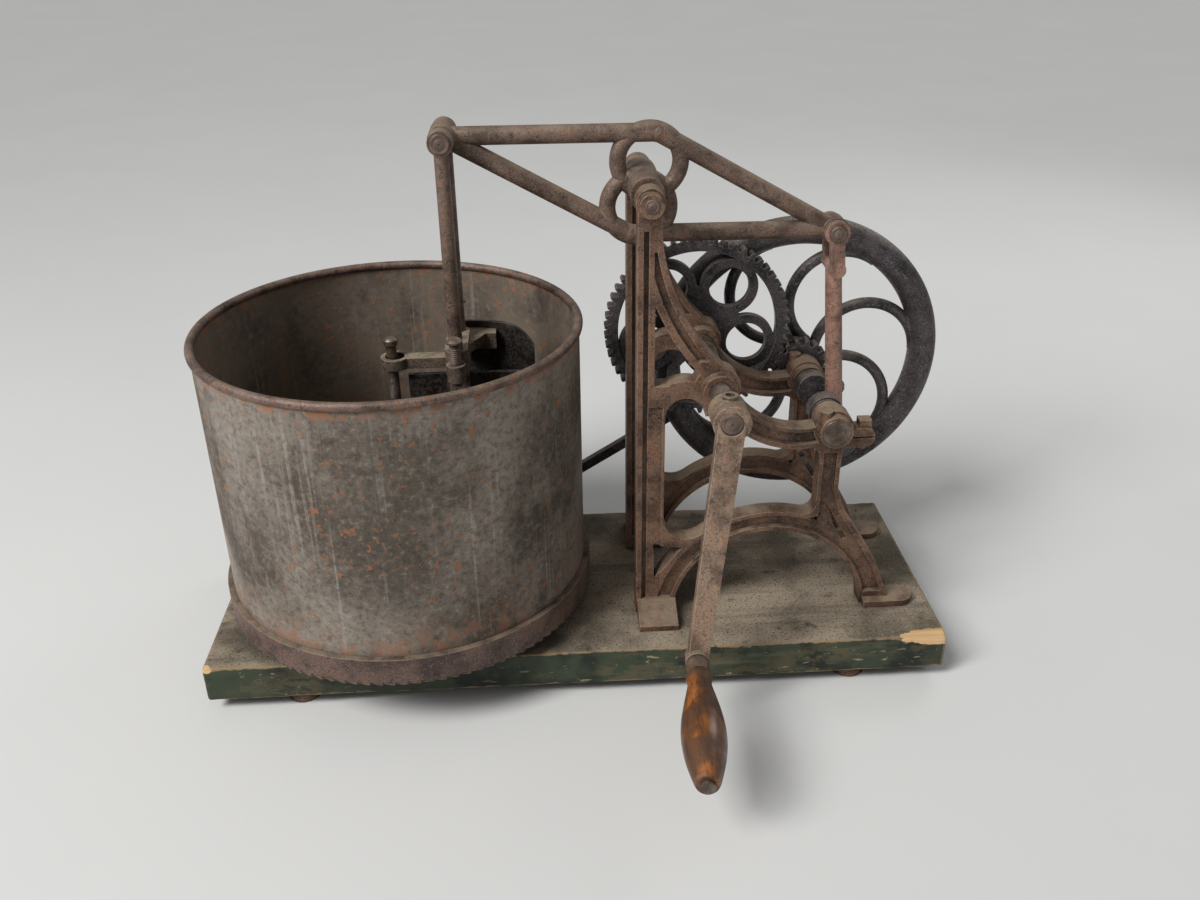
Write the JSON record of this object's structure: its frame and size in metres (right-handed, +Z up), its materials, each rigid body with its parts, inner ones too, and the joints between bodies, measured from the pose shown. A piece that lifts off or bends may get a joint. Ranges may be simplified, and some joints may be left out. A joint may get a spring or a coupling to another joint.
{
  "type": "hand-cranked food chopper",
  "caption": "Hand-cranked food chopper: a rocking beam lifts and drops a knife in a turning sheet-metal drum, geared to a flywheel on cast-iron frames over a wooden board.",
  "frame": {"origin": "middle of the whole object's box, at the underside of the feet", "axes": "+X from the drum to the flywheel, +Y from the crank side to the flywheel side, +Z up"},
  "size_m": [0.6488, 0.45, 0.451],
  "materials": {
    "rusted_casting": "dry rust with dust",
    "dark_casting": "dark worn iron",
    "red_casting": "red-brown rust",
    "worn_steel": "dull worn steel",
    "rusted_tin": "grey tinned sheet with rust",
    "rim_tin": "brown rust",
    "ring_casting": "purple-brown iron",
    "painted_board": "worn dark paint with dust",
    "chopping_wood": "bare scored wood",
    "grip_wood": "worn varnish",
    "blade_steel": "dull stained steel"
  },
  "bodies": {
    "base": {"base_board": "painted_board", "board_feet": "rusted_casting", "thrust_pad": "dark_casting", "centre_post": "worn_steel", "front_frame": "rusted_casting", "rear_frame": "rusted_casting", "frame_bolts": "worn_steel", "clamp_bolts": "worn_steel", "pivot_shaft": "worn_steel", "feed_guide": "dark_casting", "guide_screws": "worn_steel"},
    "flywheel_set": {"rear_throw": "dark_casting", "drive_pinion": "dark_casting", "flywheel": "dark_casting", "feed_disc": "dark_casting"},
    "throw_half": {"front_throw": "dark_casting"},
    "crank": {"main_shaft": "worn_steel", "drive_gear": "dark_casting", "crank_arm": "rusted_casting", "crank_screw": "worn_steel", "grip_spindle": "worn_steel"},
    "grip": {"grip_ferrule": "rusted_casting", "wood_grip": "grip_wood"},
    "drum": {"drum_wall": "rusted_tin", "drum_rim": "rim_tin", "ratchet_ring": "ring_casting", "drum_floor": "chopping_wood"},
    "beam": {"rocking_beam": "rusted_casting", "knife_hinge_pin": "worn_steel", "pitman_hinge_pin": "worn_steel"},
    "knife": {"front_lift_rod": "rusted_casting", "rear_lift_rod": "rusted_casting", "crosshead": "rusted_casting", "knife_blade": "blade_steel", "turner_plate": "dark_casting", "knife_bolts": "worn_steel"},
    "pitman_set": {"pitman": "red_casting", "throw_pin_piece": "worn_steel"},
    "feed": {"feed_rod": "dark_casting", "feed_pin_piece": "worn_steel"}
  },
  "joints": [
    {"name": "flywheel_spin", "type": "hinge", "parent": "base", "child": "flywheel_set", "pos_m": [0.1934, 0.06754, 0.21574], "axis": [0, 1, 0], "continuous": true},
    {"name": "throw_spin", "type": "hinge", "parent": "base", "child": "throw_half", "pos_m": [0.1934, 0.06754, 0.21574], "axis": [0, 1, 0], "continuous": true},
    {"name": "crank_spin", "type": "hinge", "parent": "base", "child": "crank", "pos_m": [0.0986, 0.06754, 0.255], "axis": [0, 1, 0], "continuous": true},
    {"name": "grip_spin", "type": "hinge", "parent": "crank", "child": "grip", "pos_m": [0.07374, -0.08746, 0.06865], "axis": [0.0837, 0.9965, 0], "continuous": true},
    {"name": "drum_spin", "type": "hinge", "parent": "base", "child": "drum", "pos_m": [-0.1604, 0.06754, 0.058], "axis": [0, 0, 1], "continuous": true},
    {"name": "beam_rock", "type": "hinge", "parent": "base", "child": "beam", "pos_m": [0.0436, 0.06754, 0.402], "axis": [0, 1, 0], "range_deg": [-24, 1.2]},
    {"name": "knife_swing", "type": "hinge", "parent": "beam", "child": "knife", "pos_m": [-0.10639, 0.06754, 0.44107], "axis": [0, 1, 0], "range_deg": [-1.2, 24]},
    {"name": "pitman_swing", "type": "hinge", "parent": "beam", "child": "pitman_set", "pos_m": [0.1936, 0.06754, 0.36293], "axis": [0, 1, 0], "range_deg": [-1.2, 24]},
    {"name": "feed_slide", "type": "slide", "parent": "base", "child": "feed", "axis": [0.8507, 0, 0.5257], "range_m": [0, 0.032]}
  ],
  "couplings": [
    {"joint": "throw_spin", "follows": "flywheel_spin", "ratio": 1},
    {"joint": "crank_spin", "follows": "flywheel_spin", "ratio": -0.28571},
    {"joint": "drum_spin", "follows": "flywheel_spin", "ratio": 0.03},
    {"joint": "knife_swing", "follows": "beam_rock", "ratio": -1},
    {"joint": "pitman_swing", "follows": "beam_rock", "ratio": -1}
  ]
}
